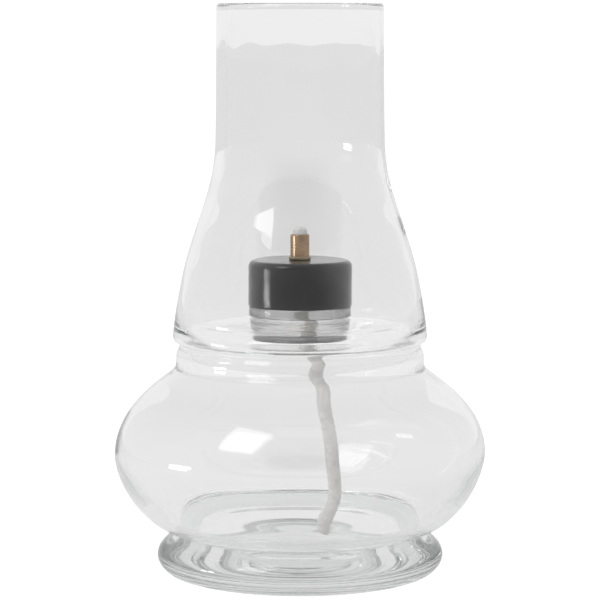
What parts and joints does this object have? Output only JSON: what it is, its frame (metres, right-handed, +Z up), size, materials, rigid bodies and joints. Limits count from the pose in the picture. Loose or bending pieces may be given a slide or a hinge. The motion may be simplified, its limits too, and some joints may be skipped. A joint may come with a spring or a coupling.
{
  "type": "oil lamp",
  "caption": "Clear glass oil lamp with a squashed-globe reservoir, a flared lift-off glass chimney, a black push-on burner cap, a brass wick tube and a braided wick.",
  "frame": {"origin": "centre of the flat ring that the lamp stands on, at table height", "axes": "+Z up along the lamp's axis; -Y towards the side the wick is best seen from, with the wick's lower end bending towards +X"},
  "size_m": [0.1332, 0.1332, 0.205],
  "materials": {
    "reservoir_glass": "clear blown glass",
    "chimney_glass": "clear blown glass",
    "black_cap": "glossy black",
    "white_plastic": "natural white, moulded",
    "silicone": "translucent grey, satin",
    "tube_brass": "polished, copper tone",
    "dark_brass": "darkened",
    "steel": "plain zinc",
    "nut_brass": "turned",
    "wick_fibre": "braided glass fibre"
  },
  "bodies": {
    "reservoir": {"glass_reservoir": "reservoir_glass"},
    "chimney": {"glass_chimney": "chimney_glass"},
    "seal": {"seal_ring": "silicone"},
    "burner": {"cap_shell": "black_cap", "cap_insert": "white_plastic", "wick_tube": "tube_brass", "tube_collar": "dark_brass", "washer": "steel", "tube_nut": "nut_brass"},
    "wick": {"wick": "wick_fibre"}
  },
  "joints": [
    {"name": "chimney_lift", "type": "slide", "parent": "reservoir", "child": "chimney", "axis": [0, 0, 1], "range_m": [0, 0.06]},
    {"name": "burner_lift", "type": "slide", "parent": "reservoir", "child": "seal", "axis": [0, 0, 1], "range_m": [0, 0.115], "deforming": ["wick"]},
    {"name": "burner_turn", "type": "hinge", "parent": "seal", "child": "burner", "pos_m": [0, 0, 0.105], "axis": [0, 0, 1], "continuous": true},
    {"name": "wick_adjust", "type": "slide", "parent": "burner", "child": "wick", "axis": [0, 0, 1], "range_m": [0, 0.004], "deforming": ["wick"]}
  ]
}
